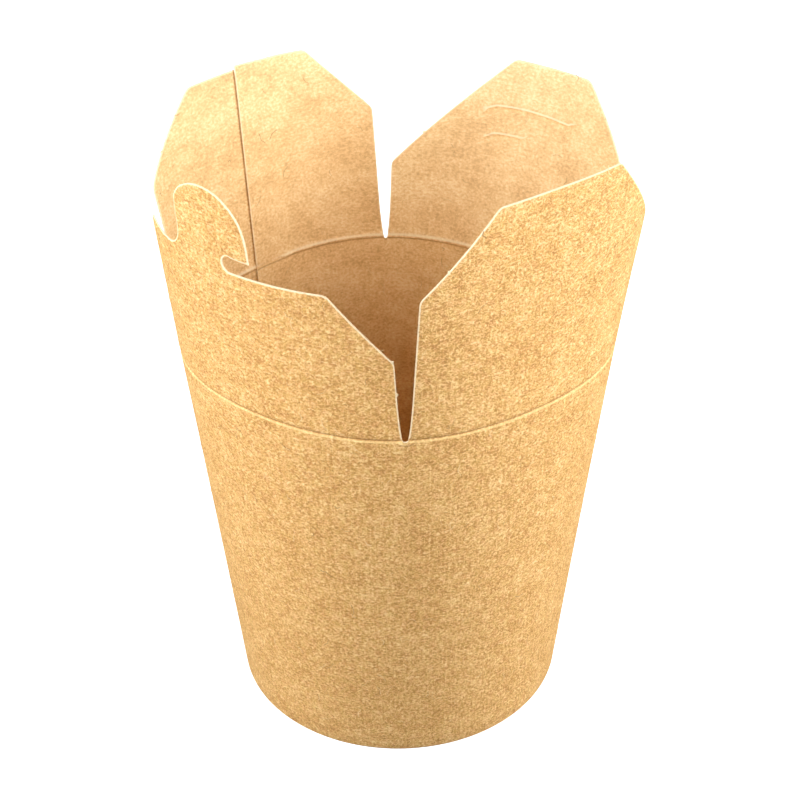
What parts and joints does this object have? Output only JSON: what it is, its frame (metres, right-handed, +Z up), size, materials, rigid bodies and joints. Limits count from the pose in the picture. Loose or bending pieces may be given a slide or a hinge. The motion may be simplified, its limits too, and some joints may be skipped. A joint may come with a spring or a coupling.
{
  "type": "noodle takeaway box",
  "caption": "Open kraft-board noodle takeaway box: a tapered round tub on a rolled foot, with folding closing flaps that lock by a hooked tongue in a cut.",
  "frame": {"origin": "on the table, under the middle of the whole outline with the flaps open; the tub's own axis stands at x = 0.00021, y = -0.00417", "axes": "+Z up the tub; +X towards the plain flap, +Y towards the flap with the cuts, -X towards the glued seam, -Y towards the flap with the tongue"},
  "size_m": [0.1002, 0.1096, 0.1483],
  "materials": {
    "kraft_board": "unbleached kraft board, matt and mottled outside, lined with a thin clear film inside, pale cut edges",
    "base_board": "the same kraft board, lined side up"
  },
  "bodies": {
    "tub": {"wall": "kraft_board", "base": "base_board"},
    "plain_flap": {"plain_flap": "kraft_board"},
    "slot_flap": {"slot_flap": "kraft_board"},
    "seam_flap": {"seam_flap": "kraft_board"},
    "tongue_flap": {"tongue_flap": "kraft_board"}
  },
  "joints": [
    {"name": "plain_fold", "type": "hinge", "parent": "tub", "child": "plain_flap", "pos_m": [0.03614, -0.00323, 0.0958], "axis": [-0.0625, -0.998, 0], "range_deg": [0, 88]},
    {"name": "slot_fold", "type": "hinge", "parent": "tub", "child": "slot_flap", "pos_m": [0.00146, 0.03076, 0.0958], "axis": [0.9997, 0.0229, 0], "range_deg": [0, 58]},
    {"name": "seam_fold", "type": "hinge", "parent": "tub", "child": "seam_flap", "pos_m": [-0.03694, -0.00251, 0.0958], "axis": [0.0725, 0.9974, 0], "range_deg": [0, 96]},
    {"name": "tongue_fold", "type": "hinge", "parent": "tub", "child": "tongue_flap", "pos_m": [-0.00273, -0.03659, 0.0958], "axis": [-0.9995, 0.0311, 0], "range_deg": [0, 57]}
  ]
}
